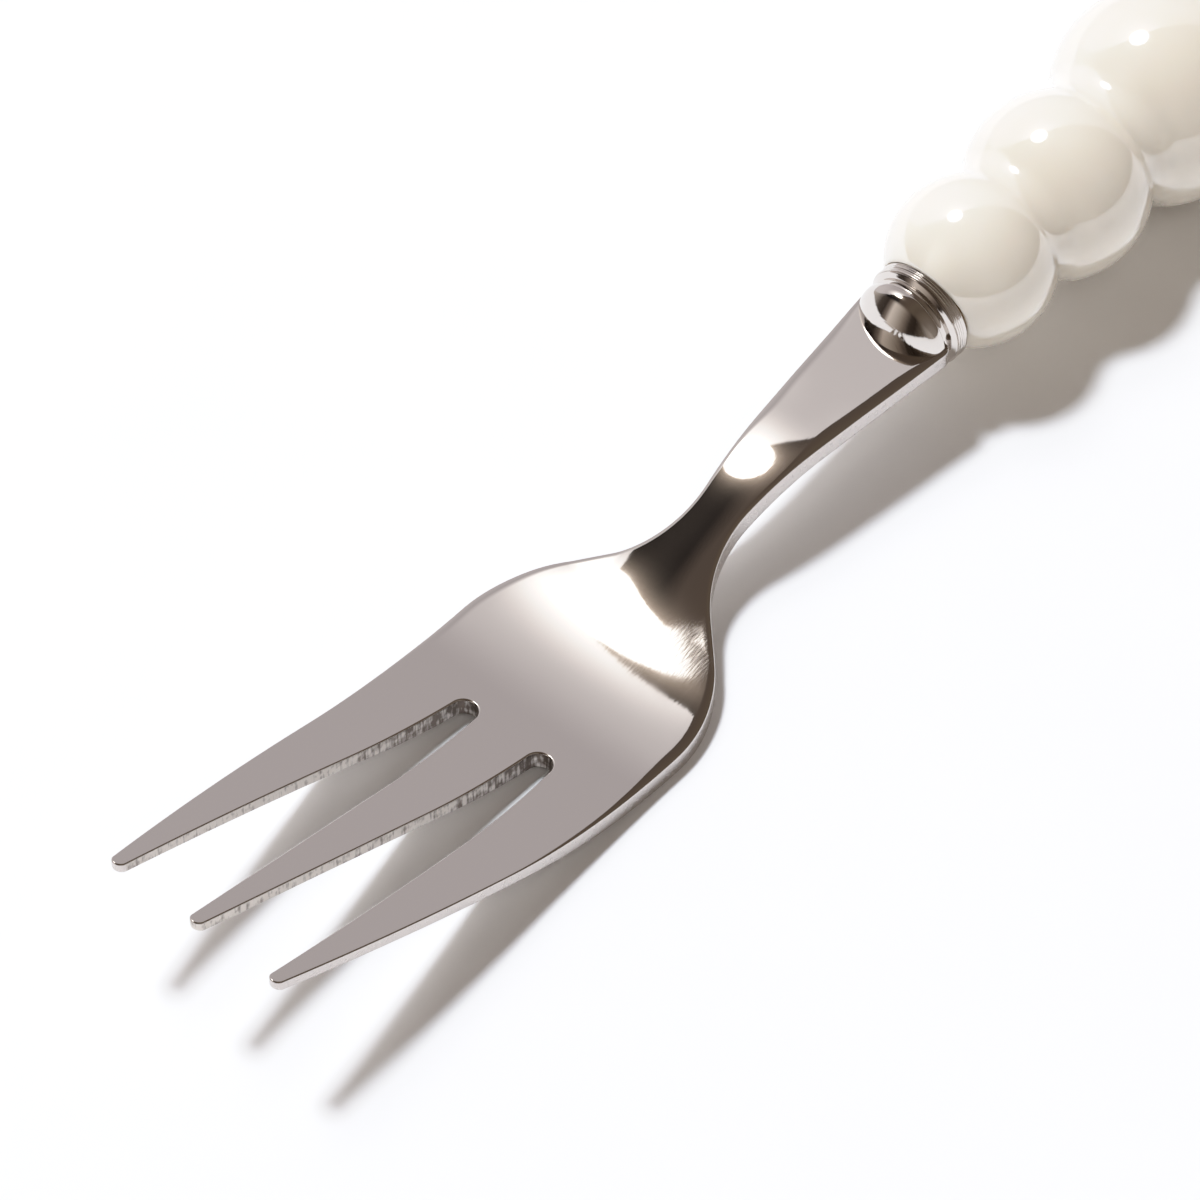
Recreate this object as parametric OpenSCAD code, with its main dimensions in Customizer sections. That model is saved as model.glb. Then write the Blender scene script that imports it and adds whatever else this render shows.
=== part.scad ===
// Dessert fork: three stamped steel tines, a turned bolster and a beaded handle.
// Millimetres, +Z up. The fork lies as on a table, tines toward -X, handle toward +X.
// Lengths along the fork are measured from the back face of the bolster collar,
// minus toward the tines; every node is then moved so the origin lies at the
// middle of the bottom face of the whole fork's box.

/* [Fork head outline] */
// distance from the collar to the tine tips
tip_dist = 82.4; // [80:0.2:86]
// widest half width of the head
head_half = 11.1; // [10.6:0.1:11.5]
// distance from the collar to the widest place
wide_dist = 46; // [44:0.5:50]
// radius of the long side edges of the head
side_radius = 270; // [230:5:320]
// distance from the collar to the middle of the shoulder round
shoulder_dist = 41.7; // [41.4:0.1:43]
// radius of the shoulder round
shoulder_radius = 11.9; // [11.2:0.1:12.4]
// narrowest half width of the neck
neck_half = 2.13; // [1.9:0.05:2.4]
// distance from the collar to the middle of the neck round
neck_dist = 24.2; // [23.6:0.1:24.4]
// radius of the neck round
neck_radius = 9; // [8.4:0.1:9.4]
// angle at which each shank edge opens toward the bolster
shank_spread = 6.3; // [5.6:0.1:6.8]

/* [Tines] */
// distance from the collar to the middle of the round slot end
slot_dist = 49.3; // [48:0.1:52]
// sideways distance of the round slot end from the middle line
slot_side = 3.87; // [3.7:0.05:4.1]
// radius of the round slot end
slot_radius = 1.22; // [1.1:0.02:1.3]
// how far the outer slot edge bows out from a straight line
slot_bow = 0.3; // [0.15:0.05:0.45]
// radius of the rounded tine tip
tip_radius = 0.65; // [0.55:0.05:0.8]

/* [Side view of the blank] */
// height of the top face at the bolster end of the shank
shank_top = 9.6; // [9.4:0.1:9.7]
// thickness of the shank at the bolster
shank_thick = 1.6; // [1.4:0.1:1.8]
// downward angle of the shank toward the neck
shank_angle = 1.5; // [1:0.1:2]
// distance from the collar to the start of the neck bend
bend_dist = 15.2; // [14.6:0.1:15.8]
// radius of the top of the neck bend
bend_radius = 22; // [20:0.5:24]
// downward angle of the neck
ramp_angle = 24; // [23:0.5:25]
// thickness of the neck
ramp_thick = 2; // [1.9:0.05:2.2]
// radius of the top of the heel hollow
hollow_radius = 28; // [26:0.5:30]
// thickness of the heel
heel_thick = 2.1; // [2:0.05:2.2]
// length of the level stretch on top of the heel
heel_level = 0.8; // [0.4:0.1:1.2]
// radius under the heel on the neck side
heel_round = 16; // [14:0.5:17]
// length of the level foot under the heel
foot_length = 2; // [1.6:0.1:2.4]
// radius of the top face where the tines rise
rise_radius = 52; // [50:1:54]
// upward angle of the tines, top face
rise_angle = 19.3; // [19:0.1:19.6]
// radius of the lower face where the tines rise
under_radius = 48; // [46:1:50]
// upward angle of the tines, lower face
under_angle = 19.9; // [19.8:0.05:20]

/* [Tang] */
// width of the tang
tang_width = 3.2; // [2.8:0.1:3.4]
// distance the tang reaches into the handle
tang_reach = 23; // [18:1:24]
// radius of the round key notches in the tang sides
notch_radius = 0.6; // [0.4:0.1:0.8]

/* [Bolster] */
// height of the handle axis above the table
axis_height = 10.1; // [10:0.05:10.2]
// how far the bolster axis lies below the handle axis
bolster_drop = 0.9; // [0.8:0.05:1]
// radius of the collar
collar_radius = 4.5; // [4.45:0.05:4.55]
// length of the collar band
collar_length = 1; // [0.95:0.05:1.1]
// radius of the flare in front of the collar
flare_radius = 4.4; // [4.35:0.05:4.45]
// length of the flare in front of the collar
flare_length = 0.65; // [0.6:0.05:0.7]
// how far the waist behind the bead lies below the bead
waist_depth = 0.5; // [0.4:0.05:0.6]
// radius of the bead that straddles the shank
bead_radius = 4.15; // [4.1:0.05:4.2]
// distance from the collar back face to the bead front
bead_front = 5.15; // [5.1:0.05:5.2]
// radius of the dome on the bead front
dome_radius = 5.1; // [5:0.1:5.2]
// radius of the round bead rim
rim_radius = 1.4; // [1.35:0.05:1.45]
// depth of the fine turned lines on the collar
line_depth = 0.08; // [0.05:0.01:0.1]

/* [Handle] */
// radius of the first bead, next to the collar
bead_one_radius = 7; // [6.95:0.05:7.1]
// distance from the collar to the middle of the first bead
bead_one_dist = 5.72; // [5.6:0.04:5.8]
// radius of the second bead
bead_two_radius = 7.74; // [7.5:0.04:8.1]
// distance from the collar to the middle of the second bead
bead_two_dist = 16.1; // [15.8:0.1:16.4]
// radius of the third bead
bead_three_radius = 9.01; // [8.8:0.03:9.2]
// distance from the collar to the middle of the third bead
bead_three_dist = 28.77; // [28.4:0.1:29.1]
// distance from the collar to the middle of the fourth bead, which rests on the table
bead_four_dist = 43.2; // [42.8:0.1:43.6]
// radius of the end bead
bead_end_radius = 8.3; // [8:0.1:8.8]
// distance from the collar to the middle of the end bead
bead_end_dist = 56.4; // [56:0.1:57]
// radius of the round at the foot of each groove
groove_radius = 0.9; // [0.6:0.1:1.2]
// radius of the blind bore for the tang
bore_radius = 3; // [2.9:0.05:3.2]
// depth of the blind bore
bore_depth = 26; // [25:1:28]
// thickness of the cement line between collar and handle
bond_gap = 0.18; // [0.12:0.02:0.24]

/* [Hidden] */
$fn = 120;
// sides of the long rounds
long_fn = 360;
// plain oversize for shapes that cut or limit others
over = 40;
// how far shapes run into each other where they join
lap = 0.3;
// how far a round reaches past the lines it blends, so the two cross cleanly
ease = 0.01;
// depth of the material behind a round in an inner corner
fill_deep = 0.8;
// reach of the space cut away outside an outer corner
cut_out = 6;

// whole length and the shift that puts the origin under the middle of the fork
bead_radii = [bead_one_radius, bead_two_radius, bead_three_radius, axis_height, bead_end_radius];
bead_places = [bead_one_dist, bead_two_dist, bead_three_dist, bead_four_dist, bead_end_dist];
bead_last = len(bead_radii) - 1;
middle = (bead_end_dist + bead_end_radius - tip_dist) / 2;

// shank end, where the blank meets the flare of the bolster
shank_end = -collar_length - flare_length;

// meeting point of a line through p at angle a and a line through q at angle b
function meet(p, a, q, b) =
    let (t = ((q[0] - p[0]) * sin(b) - (q[1] - p[1]) * cos(b)) / sin(b - a))
    p + t * [cos(a), sin(a)];

// outline points of the half head, +Y side; the flank touches both rounds
tip_x = -tip_dist;
tip_mid = tip_x + tip_radius;
wide_x = -wide_dist;
shoulder_mid = [-shoulder_dist, head_half - shoulder_radius];
neck_mid = [-neck_dist, neck_half + neck_radius];
round_gap = neck_mid - shoulder_mid;
flank_angle = atan2(round_gap[0], round_gap[1])
            - acos((shoulder_radius + neck_radius) / norm(round_gap));
flank_way = [sin(flank_angle), cos(flank_angle)];
flank_top = shoulder_mid + shoulder_radius * flank_way;
flank_foot = neck_mid - neck_radius * flank_way;
shank_start = neck_mid + neck_radius * [sin(shank_spread), -cos(shank_spread)];
shank_half = shank_start[1] + (shank_end - shank_start[0]) * tan(shank_spread);
shoulder_top = [shoulder_mid[0], head_half];
shoulder_corner = meet(shoulder_top, 0, flank_top, -flank_angle);
neck_corner = meet(flank_foot, -flank_angle, shank_start, shank_spread);

// tine tip places
side_mid = [wide_x, head_half - side_radius];
tip_outer = side_mid[1] + sqrt(pow(side_radius, 2) - pow(tip_mid - side_mid[0], 2));
tine_side = tip_outer - tip_radius;

// slot edges, from the round end to the tips
slot_x = -slot_dist;
slot_root_out = [slot_x, slot_side + slot_radius];
slot_tip_out = [tip_mid, tine_side - tip_radius];
slot_chord = norm(slot_tip_out - slot_root_out);
slot_turn = atan2(slot_tip_out[1] - slot_root_out[1], slot_tip_out[0] - slot_root_out[0]);
bow_radius = (pow(slot_chord / 2, 2) + pow(slot_bow, 2)) / (2 * slot_bow);

// top face of the side view, from past the shank end to past the tips
past_tip = tip_x - lap;
past_end = shank_end + lap;
bend_top = [-bend_dist, shank_top - (bend_dist + shank_end) * tan(shank_angle)];
bend_mid = bend_top + bend_radius * [sin(shank_angle), -cos(shank_angle)];
ramp_top = bend_mid + bend_radius * [-sin(ramp_angle), cos(ramp_angle)];
top_end = meet(bend_top, shank_angle, [past_end, 0], 90);
bend_corner = meet(bend_top, shank_angle, ramp_top, ramp_angle);
hollow_drop = hollow_radius * (1 - cos(ramp_angle));
ramp_length = (ramp_top[1] - hollow_drop - heel_thick) / sin(ramp_angle);
ramp_foot = ramp_top - ramp_length * [cos(ramp_angle), sin(ramp_angle)];
hollow_mid = ramp_foot + hollow_radius * [-sin(ramp_angle), cos(ramp_angle)];
hollow_end = [hollow_mid[0], heel_thick];
hollow_corner = hollow_end + [hollow_radius * tan(ramp_angle / 2), 0];
rise_start = hollow_end - [heel_level, 0];
rise_mid = rise_start + [0, rise_radius];
rise_corner = rise_start - [rise_radius * tan(rise_angle / 2), 0];
rise_end = rise_mid - rise_radius * [sin(rise_angle), cos(rise_angle)];
tip_top = meet(rise_end, -rise_angle, [past_tip, 0], 90);

// lower face of the side view, from past the shank end to past the tips
low_radius = bend_radius - ramp_thick;
bend_low = bend_mid + low_radius * [-sin(shank_angle), cos(shank_angle)];
ramp_low = bend_mid + low_radius * [-sin(ramp_angle), cos(ramp_angle)];
low_angle = atan2(shank_top - shank_thick - bend_low[1], shank_end - bend_low[0]);
low_end = meet(bend_low, low_angle, [past_end, 0], 90);
low_corner = meet(bend_low, low_angle, ramp_low, ramp_angle);
heel_corner = [ramp_low[0] - ramp_low[1] / tan(ramp_angle), 0];
heel_run = heel_round * tan(ramp_angle / 2);
heel_start = heel_corner + heel_run * [cos(ramp_angle), sin(ramp_angle)];
foot_front = heel_corner - [heel_run, 0];
foot_back = foot_front - [foot_length, 0];
under_run = under_radius * tan(under_angle / 2);
under_corner = foot_back - [under_run, 0];
under_end = under_corner + under_run * [-cos(under_angle), sin(under_angle)];
tip_low = meet(under_end, -under_angle, [past_tip, 0], 90);

// underside of the tang, and its notches as shares of its reach
tang_low = shank_top - shank_thick;
notch_shares = [0.45, 0.75];

// height of the bolster axis
bolster_height = axis_height - bolster_drop;

// bolster bead: a dome and a round rim that touch without a step
dome_mid = dome_radius - bead_front;
rim_reach = dome_radius - rim_radius;
rim_height = bead_radius - rim_radius;
rim_angle = asin(rim_height / rim_reach);
rim_mid = dome_mid - rim_reach * cos(rim_angle);
dome_back = rim_mid + lap;
dome_half = (dome_mid - dome_back) * tan(rim_angle);

// waist between bead and flare, with a round groove sunk into it
waist_radius = bead_radius - waist_depth;
waist_front = shank_end - waist_depth;
waist_round = 0.4;
waist_sink = 0.1;
waist_lead = 0.15;
waist_mid = shank_end - waist_lead;

// flare edge, small edge breaks and the turned lines on the collar
edge_cut = 0.1;
flare_edge = -collar_length - edge_cut;
line_places = [0.3, 0.5, 0.7];
line_round = 0.09;

// radius of the flat front face of the handle
face_radius = sqrt(pow(bead_one_radius, 2) - pow(bead_one_dist - bond_gap, 2));

// place of the round in the groove between bead i and the next one, [along, out]
function groove_at(i) =
    let (d = bead_places[i + 1] - bead_places[i],
         p = bead_radii[i] + groove_radius,
         q = bead_radii[i + 1] + groove_radius,
         a = (p * p - q * q + d * d) / (2 * d))
    [bead_places[i] + a, sqrt(p * p - a * a)];

// move a node from the collar to the common origin
module place() translate([-middle, 0, 0]) children();

// turn a profile drawn as [out, along] about an axis at the given height
module turned(height) translate([0, 0, height]) rotate([0, 90, 0]) rotate_extrude() difference() {
    children();
    translate([-2 * over, -2 * over]) square([2 * over, 4 * over]);
}

// shape between a round and the corner of the two lines it touches, run on by way:
// added to an outline in an inner corner, cut away from it at an outer corner
module corner_piece(from, to, corner, way, mid, radius) difference() {
    polygon([from, to, to + way, corner + way, from + way]);
    translate(mid) circle(radius + ease, $fn = long_fn);
}

// gap between the middle tine and the +Y tine
module half_slot() {
    translate([slot_x, slot_side]) circle(slot_radius);
    polygon([slot_root_out, slot_tip_out, [tip_x, slot_tip_out[1]], [tip_x, tip_radius],
             [tip_mid, tip_radius], [slot_x, slot_side - slot_radius]]);
    translate(slot_root_out) rotate(slot_turn) intersection() {
        translate([slot_chord / 2, bow_radius - slot_bow]) circle(bow_radius, $fn = long_fn);
        translate([0, -slot_bow]) square([slot_chord, slot_bow + lap]);
    }
}

// half outline of the blank on the +Y side, a little past the middle line
module half_outline() {
    difference() {
        union() {
            polygon([[shank_end, -lap], [shank_end, shank_half], neck_corner,
                     shoulder_corner, [tip_mid, head_half], [tip_mid, -lap]]);
            corner_piece(shank_start, flank_foot, neck_corner, [0, -fill_deep],
                         neck_mid, neck_radius);
        }
        difference() {
            translate([tip_x, head_half / 2]) square([wide_x - tip_x, head_half]);
            translate(side_mid) circle(side_radius + ease, $fn = long_fn);
        }
        corner_piece(shoulder_top, flank_top, shoulder_corner, [cut_out, cut_out],
                     shoulder_mid, shoulder_radius);
        half_slot();
    }
    translate([tip_mid, tine_side]) circle(tip_radius + ease);
}

// blank seen from above
module outline() {
    half_outline();
    mirror([0, 1]) half_outline();
    translate([tip_mid, 0]) circle(tip_radius + ease);
}

// blank seen from the side, drawn as [along, height]: one outline with its corners rounded
module side_view() {
    above = [0, 1];
    difference() {
        union() {
            polygon([top_end, bend_corner, hollow_corner, rise_corner, tip_top,
                     tip_low, under_corner, heel_corner, low_corner, low_end]);
            corner_piece(ramp_low, bend_low, low_corner, fill_deep * above, bend_mid, low_radius);
            corner_piece(ramp_foot, hollow_end, hollow_corner, -fill_deep * above,
                         hollow_mid, hollow_radius);
            corner_piece(rise_start, rise_end, rise_corner, -fill_deep * above,
                         rise_mid, rise_radius);
        }
        corner_piece(ramp_top, bend_top, bend_corner, cut_out * above, bend_mid, bend_radius);
        corner_piece(heel_start, foot_front, heel_corner, -cut_out * above,
                     foot_front + heel_round * above, heel_round);
        corner_piece(foot_back, under_end, under_corner, -cut_out * above,
                     foot_back + under_radius * above, under_radius);
    }
}

// tang with its key notches
module tang() translate([0, 0, tang_low]) linear_extrude(shank_thick) difference() {
    translate([shank_end, -tang_width / 2]) square([tang_reach - shank_end, tang_width]);
    for (share = notch_shares, side = [-1, 1])
        translate([share * tang_reach, side * tang_width / 2]) circle(notch_radius);
}

module fork_blank() color([0.72, 0.72, 0.74]) place() {
    intersection() {
        translate([0, 0, -lap]) linear_extrude(over) outline();
        rotate([90, 0, 0]) linear_extrude(over, center = true) side_view();
    }
    tang();
}

// space taken by the shank inside the bolster
module shank_space() intersection() {
    rotate([90, 0, 0]) linear_extrude(over, center = true)
        polygon([top_end, bend_top, bend_low, low_end]);
    translate([shank_end - over, -over, 0]) cube([over, 2 * over, over]);
}

// bolster profile, drawn as [out, along]
module bolster_profile() difference() {
    union() {
        translate([0, -collar_length]) square([collar_radius, collar_length]);
        polygon([[0, flare_edge - edge_cut], [flare_radius, flare_edge],
                 [flare_radius - edge_cut, -collar_length], [0, -collar_length]]);
        polygon([[0, waist_front], [waist_radius, waist_front], [waist_radius, shank_end],
                 [flare_radius, flare_edge], [0, flare_edge]]);
        translate([0, rim_mid]) square([rim_height, shank_end - rim_mid]);
        translate([rim_height, rim_mid]) circle(rim_radius);
        intersection() {
            translate([0, dome_mid]) circle(dome_radius);
            polygon([[0, dome_back], [0, -over], [over * tan(rim_angle), dome_mid - over],
                     [dome_half, dome_back]]);
        }
    }
    translate([waist_radius + waist_round - waist_sink, waist_mid]) circle(waist_round);
    for (y = line_places)
        translate([collar_radius + line_round - line_depth, -y]) circle(line_round);
}

module bolster() color([0.76, 0.75, 0.74]) place() difference() {
    turned(bolster_height) bolster_profile();
    shank_space();
    tang();
}

// cement round the tang, with the thin line between the collar and the handle face
module epoxy_bond() color([0.6, 0.42, 0.22]) place() difference() {
    union() {
        intersection() {
            turned(bolster_height) square([collar_radius - edge_cut, bond_gap]);
            turned(axis_height) square([face_radius, bond_gap]);
        }
        turned(axis_height) translate([0, bond_gap]) square([bore_radius, bore_depth - bond_gap]);
    }
    tang();
}

// handle profile, drawn as [out, along]
module handle_profile() difference() {
    union() {
        for (i = [0 : bead_last])
            translate([0, bead_places[i]]) circle(bead_radii[i]);
        for (i = [0 : bead_last - 1]) let (g = groove_at(i)) difference() {
            polygon([[0, bead_places[i]], [g[1], g[0]], [0, bead_places[i + 1]]]);
            translate([g[1], g[0]]) circle(groove_radius);
        }
    }
    translate([-lap, bond_gap - over]) square([over, over]);
    translate([-lap, 0]) square([bore_radius + lap, bore_depth]);
}

module handle() color([0.94, 0.91, 0.85]) place() turned(axis_height) handle_profile();

fork_blank();
bolster();
epoxy_bond();
handle();
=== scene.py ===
import bpy
import numpy as np
from mathutils import Matrix, Vector
from mathutils.geometry import delaunay_2d_cdt


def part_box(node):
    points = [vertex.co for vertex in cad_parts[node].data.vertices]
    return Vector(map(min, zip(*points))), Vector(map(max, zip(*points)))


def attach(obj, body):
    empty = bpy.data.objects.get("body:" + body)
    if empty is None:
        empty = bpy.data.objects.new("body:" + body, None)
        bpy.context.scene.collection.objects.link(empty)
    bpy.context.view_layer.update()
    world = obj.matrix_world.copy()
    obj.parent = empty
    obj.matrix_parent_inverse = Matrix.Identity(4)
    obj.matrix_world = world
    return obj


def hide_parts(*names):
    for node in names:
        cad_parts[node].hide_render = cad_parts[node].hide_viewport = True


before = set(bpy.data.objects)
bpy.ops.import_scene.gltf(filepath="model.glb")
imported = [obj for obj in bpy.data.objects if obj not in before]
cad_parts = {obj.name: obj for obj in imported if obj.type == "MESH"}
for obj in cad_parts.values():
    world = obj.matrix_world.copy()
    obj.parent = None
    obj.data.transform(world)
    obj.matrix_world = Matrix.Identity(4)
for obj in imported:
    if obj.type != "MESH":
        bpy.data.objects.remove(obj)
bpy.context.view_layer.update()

# Sizes are millimetres and angles are degrees. Lengths along the fork run from the back face of
# the collar, minus toward the tines, and row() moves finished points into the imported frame.
mm = 0.001
sameSpot = 1e-4  # points of a run that lie nearer than this count as one
profileSamples = 6000  # even reading of a turned profile before it is softened
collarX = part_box("epoxy_bond")[0].x / mm
axisZ = (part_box("handle")[0].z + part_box("handle")[1].z) / 2 / mm
print("frame loaded, collar at", round(collarX, 3), "mm, axis height", round(axisZ, 3), "mm")


# helpers shared by every piece

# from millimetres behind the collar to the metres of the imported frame
def row(points):
    return (points + np.array([collarX, 0, 0])) * mm


# vectors divided by their lengths
def unit(vectors):
    return vectors / np.linalg.norm(vectors, axis=-1, keepdims=True)


# points on a circle: middle plus radius times (cos, sin), about one point each step mm
def arc(middle, radius, start, end, step):
    count = max(3, int(np.ceil(abs(np.radians(end - start)) * radius / step)) + 1)
    turn = np.radians(np.linspace(start, end, count))
    return np.array(middle) + radius * np.stack([np.cos(turn), np.sin(turn)], axis=1)


# points on a straight line, about one each step mm
def line(start, end, step):
    start, end = np.array(start, float), np.array(end, float)
    share = np.linspace(0, 1, max(2, int(np.ceil(np.linalg.norm(end - start) / step)) + 1))
    return start + share[:, None] * (end - start)


# runs of points joined end to end, without the doubled points where they meet
def chain(*runs):
    points = np.concatenate(runs)
    apart = np.linalg.norm(np.diff(points, axis=0), axis=1) > sameSpot
    return points[np.concatenate([[True], apart])]


# A curve read at even places, softened by a bell curve of the given width. The bell is cut off
# four widths out, and past its ends the curve runs on straight.
def softened(places, values, width):
    step = places[1] - places[0]
    reach = int(np.ceil(4 * width / step))
    bell = np.exp(-0.5 * (np.arange(-reach, reach + 1) * step / width) ** 2)
    start = values[0] + (values[1] - values[0]) * np.arange(-reach, 0)
    end = values[-1] + (values[-1] - values[-2]) * np.arange(1, reach + 1)
    return np.convolve(np.concatenate([start, values, end]), bell / bell.sum(), mode="valid")


# four-sided faces of a grid whose points are numbered row by row and whose rows are closed rings
def gridFaces(rows, cols):
    i, j = np.meshgrid(np.arange(rows - 1), np.arange(cols), indexing="ij")
    k = (j + 1) % cols
    corners = [i * cols + j, i * cols + k, (i + 1) * cols + k, (i + 1) * cols + j]
    return np.stack(corners, axis=-1).reshape(-1, 4)


# makes a piece from points and faces and puts it in the place of its CAD node
def addPiece(name, points, faces, materials, faceSlots, cadNode):
    mesh = bpy.data.meshes.new(name)
    mesh.from_pydata(points.tolist(), [], faces)
    for material in materials:
        mesh.materials.append(material)
    mesh.polygons.foreach_set("material_index", np.asarray(faceSlots, np.int32))
    mesh.shade_smooth()
    mesh.update()
    piece = bpy.data.objects.new(name, mesh)
    bpy.context.scene.collection.objects.link(piece)
    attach(piece, "root")
    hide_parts(cadNode)
    print(name, len(mesh.vertices), "points", len(mesh.polygons), "faces")
    return piece


# sRGB hex to linear colour
def colour(text):
    value = np.array([int(text[i:i + 2], 16) for i in (1, 3, 5)]) / 255
    value = np.where(value <= 0.04045, value / 12.92, ((value + 0.055) / 1.055) ** 2.4)
    return (*value.tolist(), 1.0)


# fills a node's inputs with values or links
def wire(tree, node, inputs):
    for key, value in inputs.items():
        if isinstance(value, bpy.types.NodeSocket):
            tree.links.new(value, node.inputs[key])
        else:
            node.inputs[key].default_value = value


# Adds a node, sets its properties and colour stops, and fills its inputs. The first two stops
# move the two that a new ramp has.
def addNode(tree, kind, inputs=None, stops=(), **settings):
    node = tree.nodes.new(kind)
    for key, value in settings.items():
        setattr(node, key, value)
    for number, (place, tint) in enumerate(stops):
        elements = node.color_ramp.elements
        stop = elements[number] if number < 2 else elements.new(place)
        stop.position, stop.color = place, colour(tint)
    wire(tree, node, inputs or {})
    return node


# a material with one shader, and the place on the piece that its patterns read
def newMaterial(name):
    material = bpy.data.materials.new(name)
    material.use_nodes = True
    tree = material.node_tree
    tree.nodes.clear()
    shader = addNode(tree, "ShaderNodeBsdfPrincipled")
    addNode(tree, "ShaderNodeOutputMaterial", {"Surface": shader.outputs[0]})
    place = addNode(tree, "ShaderNodeTexCoord").outputs["Object"]
    return material, tree, shader, place


# materials

# Mirror polished stainless steel: buffed along the fork, so it mirrors the room with a faint
# cloudiness, and fine lines run lengthwise where the wheel came off at the shoulder.
polish = {
    "tint": "#D2CDC8", "roughness": 0.035, "haze": 0.05, "hazeFrom": 0.35, "hazeFull": 0.75,
    "lineWidth": 0.16, "lineLength": 9.0, "lineBump": 0.0025,
    "cloudSize": 5.0, "cloudBump": 0.005,
    # the wheel's mark: its middle, where it ends, where it is full, and how strong it is
    "wheelSpot": (-33.6, -5.6, 2.9), "wheelReach": 3.4, "wheelCore": 1.4,
    "wheelRough": 0.24, "wheelBump": 0.012,
}


def polishedSteel(s):
    material, tree, shader, place = newMaterial("stainless_mirror_polished")
    across, along = 1 / (s["lineWidth"] * mm), 1 / (s["lineLength"] * mm)
    stretched = addNode(tree, "ShaderNodeMapping",
                        {"Vector": place, "Scale": (along, across, across)}).outputs[0]
    lines = addNode(tree, "ShaderNodeTexNoise",
                    {"Vector": stretched, "Scale": 1.0, "Detail": 2.0}).outputs[0]
    cloud = addNode(tree, "ShaderNodeTexNoise",
                    {"Vector": place, "Scale": 1 / (s["cloudSize"] * mm), "Detail": 2.0}).outputs[0]
    rough = addNode(tree, "ShaderNodeMapRange",
                    {"Value": cloud, "From Min": s["hazeFrom"], "From Max": s["hazeFull"],
                     "To Min": s["roughness"], "To Max": s["roughness"] + s["haze"]}).outputs[0]
    spot = tuple(row(np.array(s["wheelSpot"])).tolist())
    away = addNode(tree, "ShaderNodeVectorMath", {0: place, 1: spot},
                   operation="DISTANCE").outputs["Value"]
    worn = addNode(tree, "ShaderNodeMapRange",
                   {"Value": away, "From Min": s["wheelReach"] * mm, "From Max": s["wheelCore"] * mm},
                   interpolation_type="SMOOTHSTEP").outputs[0]
    streaks = addNode(tree, "ShaderNodeMath", {0: worn, 1: lines}, operation="MULTIPLY").outputs[0]
    rough = addNode(tree, "ShaderNodeMath", {0: streaks, 1: s["wheelRough"], 2: rough},
                    operation="MULTIPLY_ADD").outputs[0]
    relief = addNode(tree, "ShaderNodeMath", {0: worn, 1: s["wheelBump"], 2: s["lineBump"]},
                     operation="MULTIPLY_ADD").outputs[0]
    waves = addNode(tree, "ShaderNodeBump",
                    {"Height": cloud, "Strength": s["cloudBump"], "Distance": mm}).outputs[0]
    bump = addNode(tree, "ShaderNodeBump",
                   {"Height": lines, "Strength": relief, "Distance": mm, "Normal": waves}).outputs[0]
    wire(tree, shader, {"Base Color": colour(s["tint"]), "Metallic": 1.0, "Roughness": rough, "Normal": bump})
    return material


# Ground and tumbled stainless edge: the outer walls of the blank, smooth but not a mirror.
edge = {
    "tint": "#C8C1BC", "roughness": 0.2, "spread": 0.1, "spreadFrom": 0.3, "spreadFull": 0.7,
    "grain": 0.35, "bump": 0.012,
}


def groundEdge(s):
    material, tree, shader, place = newMaterial("stainless_ground_edge")
    grain = addNode(tree, "ShaderNodeTexNoise",
                    {"Vector": place, "Scale": 1 / (s["grain"] * mm), "Detail": 3.0}).outputs[0]
    rough = addNode(tree, "ShaderNodeMapRange",
                    {"Value": grain, "From Min": s["spreadFrom"], "From Max": s["spreadFull"],
                     "To Min": s["roughness"], "To Max": s["roughness"] + s["spread"]}).outputs[0]
    bump = addNode(tree, "ShaderNodeBump",
                   {"Height": grain, "Strength": s["bump"], "Distance": mm}).outputs[0]
    wire(tree, shader, {"Base Color": colour(s["tint"]), "Metallic": 1.0, "Roughness": rough, "Normal": bump})
    return material


# Sheared stainless: the slot walls as the punch left them, with upright tear marks and dark pits.
# Over these, painted shade darkens the walls by the slot's round end and painted light brightens them toward
# the tips.
shear = {
    "light": "#D6CFC8", "dark": "#6E6259", "lightAt": 0.30, "darkAt": 0.14,
    "roughness": 0.38, "spread": 0.2, "spreadFrom": 0.3, "spreadFull": 0.7,
    "markWidth": 0.22, "markHeight": 2.5, "pitSize": 0.7, "bump": 0.25, "depth": 0.05,
    # where the painted shade by the slot's end is full, where the painted light toward the tips is full, and
    # how far each moves the tone
    "paintedShadeFrom": -50.0, "paintedLightFrom": -63.0, "paintedShading": (-0.09, 0.06),
}


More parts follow.
